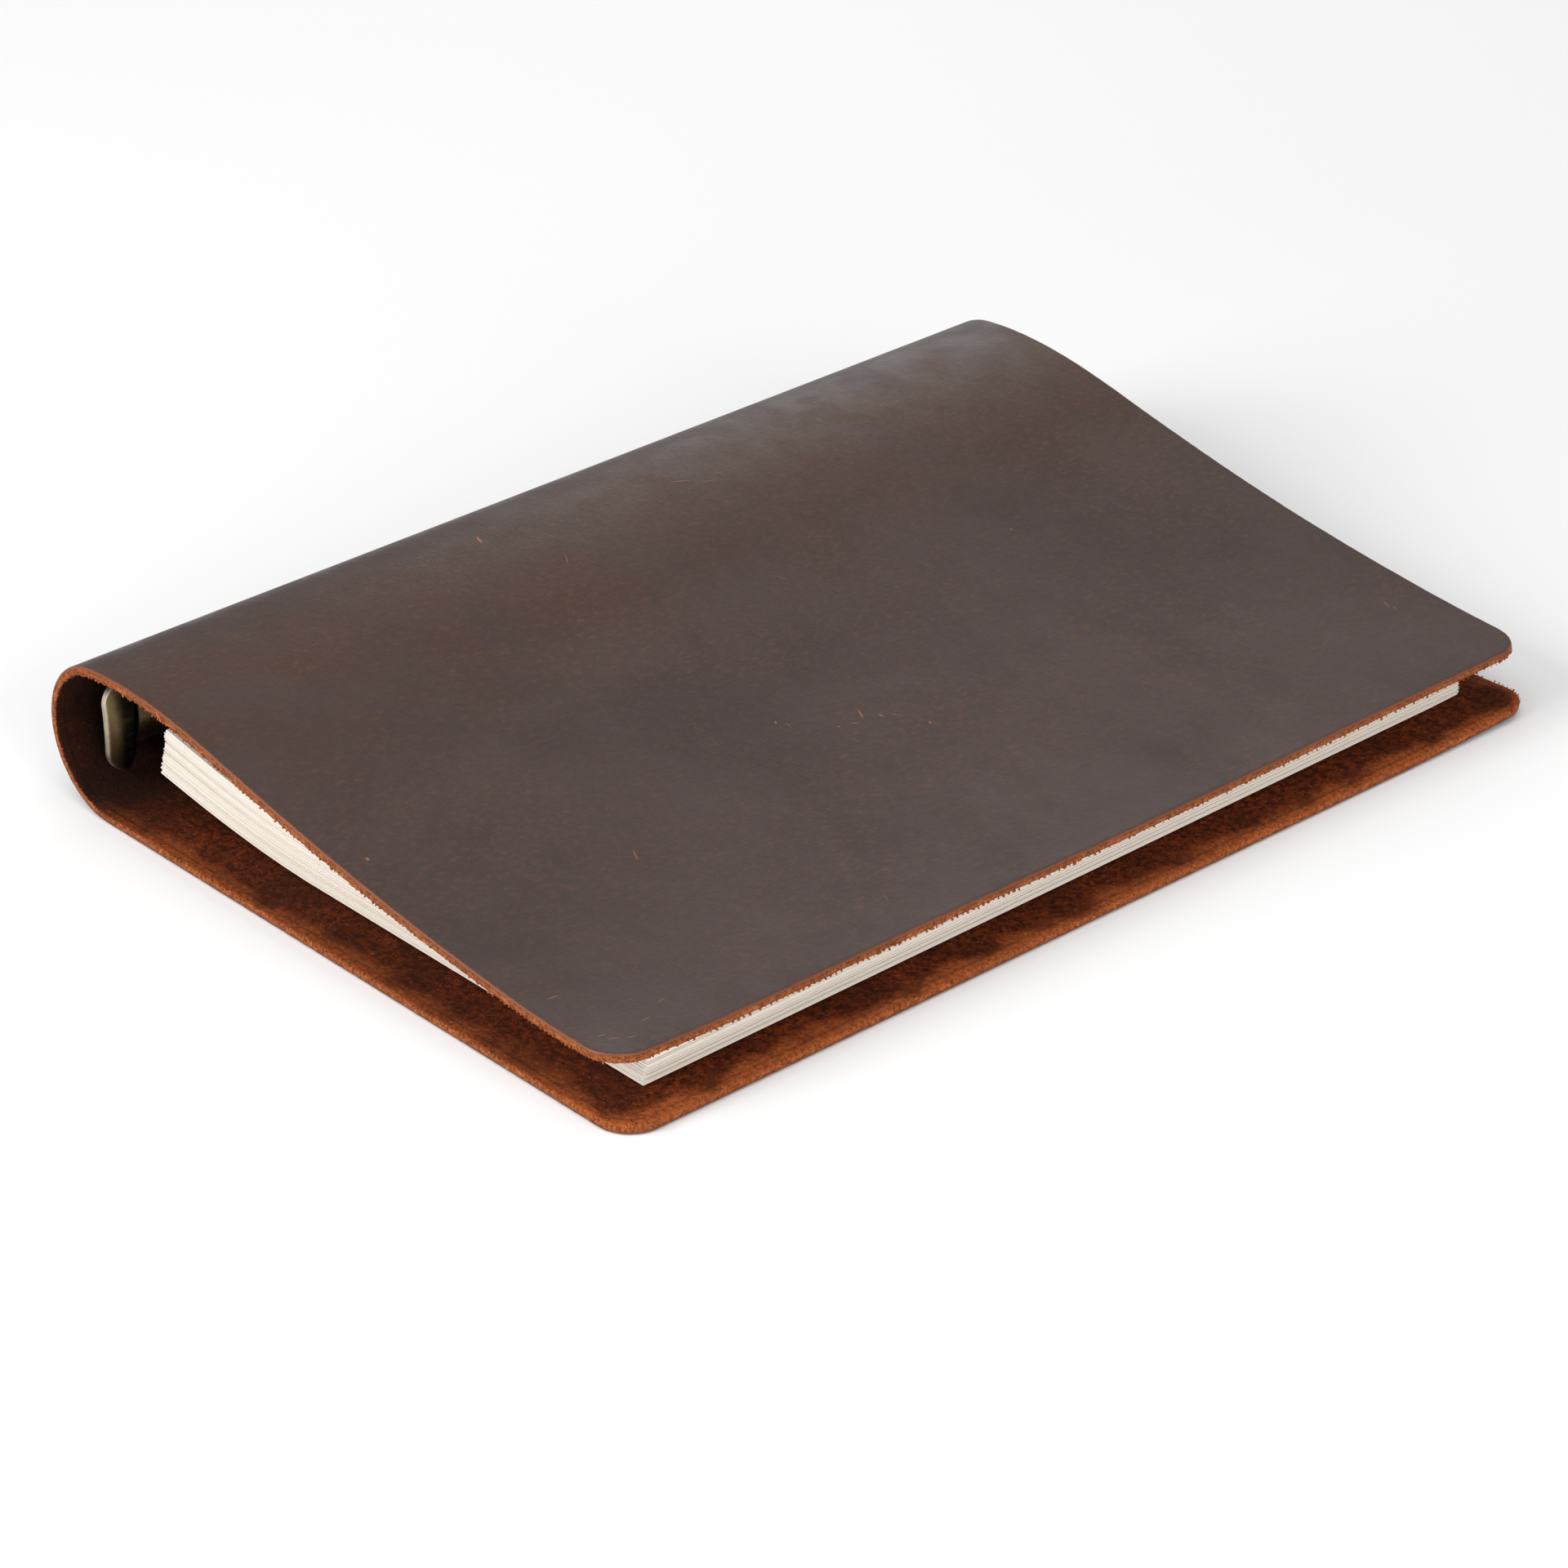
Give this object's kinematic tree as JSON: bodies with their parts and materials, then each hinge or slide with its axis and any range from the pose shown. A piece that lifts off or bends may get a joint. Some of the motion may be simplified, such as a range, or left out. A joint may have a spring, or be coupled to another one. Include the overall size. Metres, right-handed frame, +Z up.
{
  "type": "ring-binder scrapbook album",
  "caption": "Refillable scrapbook album: a wrap-round leather cover on a ring mechanism with thumb levers, holding loose punched leaves.",
  "frame": {"origin": "centre of the album's bounding box in plan, on the surface that the back cover lies on", "axes": "+Z up through the closed album, +X from the spine to the fore-edge, +Y along the spine"},
  "size_m": [0.1708, 0.23, 0.0328],
  "materials": {
    "leather": "oil pull-up hide, matt with soft sheen",
    "paper": "uncoated card, matt",
    "antique_brass": "antiqued, satin"
  },
  "bodies": {
    "root": {"back_cover": "leather", "spine_wrap": "leather", "leaf_pack_1": "paper", "leaf_pack_2": "paper", "leaf_pack_3": "paper", "leaf_pack_4": "paper", "rail_cover": "antique_brass", "spine_post_near": "antique_brass", "rail_screw_near": "antique_brass", "spine_post_far": "antique_brass", "rail_screw_far": "antique_brass"},
    "fold": {"spine_fold": "leather"},
    "cover": {"front_cover": "leather"},
    "leaves": {"front_leaves": "paper"},
    "upper_rings": {"hinge_plate_upper": "antique_brass", "ring_upper_1": "antique_brass", "ring_upper_2": "antique_brass", "ring_upper_3": "antique_brass", "ring_upper_4": "antique_brass", "ring_upper_5": "antique_brass", "ring_upper_6": "antique_brass"},
    "lower_rings": {"hinge_plate_lower": "antique_brass", "ring_lower_1": "antique_brass", "ring_lower_2": "antique_brass", "ring_lower_3": "antique_brass", "ring_lower_4": "antique_brass", "ring_lower_5": "antique_brass", "ring_lower_6": "antique_brass"},
    "near_lever": {"lever_near": "antique_brass"},
    "far_lever": {"lever_far": "antique_brass"}
  },
  "joints": [
    {"name": "cover_open", "type": "hinge", "parent": "root", "child": "fold", "pos_m": [-0.08302, 0, 0.02201], "axis": [0, -1, 0], "range_deg": [0, 99]},
    {"name": "cover_fold", "type": "hinge", "parent": "fold", "child": "cover", "pos_m": [-0.07154, 0, 0.03198], "axis": [0, -1, 0], "range_deg": [0, 99]},
    {"name": "page_turn", "type": "hinge", "parent": "root", "child": "leaves", "pos_m": [-0.067, 0, 0.01615], "axis": [0, -1, 0], "range_deg": [0, 120]},
    {"name": "ring_upper_open", "type": "hinge", "parent": "root", "child": "upper_rings", "pos_m": [-0.0786, 0, 0.023], "axis": [0, -1, 0], "range_deg": [0, 6]},
    {"name": "ring_lower_open", "type": "hinge", "parent": "root", "child": "lower_rings", "pos_m": [-0.0786, 0, 0.0093], "axis": [0, -1, 0], "range_deg": [-6, 0]},
    {"name": "lever_near_press", "type": "hinge", "parent": "root", "child": "near_lever", "pos_m": [-0.0798, -0.102, 0.01615], "axis": [0, 0, -1], "range_deg": [0, 12]},
    {"name": "lever_far_press", "type": "hinge", "parent": "root", "child": "far_lever", "pos_m": [-0.0798, 0.1044, 0.01615], "axis": [0, 0, 1], "range_deg": [0, 12]}
  ],
  "couplings": [
    {"joint": "cover_fold", "follows": "cover_open", "ratio": 1},
    {"joint": "page_turn", "follows": "cover_open", "ratio": 1.2},
    {"joint": "ring_lower_open", "follows": "ring_upper_open", "ratio": -1},
    {"joint": "lever_near_press", "follows": "ring_upper_open", "ratio": 2},
    {"joint": "lever_far_press", "follows": "ring_upper_open", "ratio": 2}
  ]
}
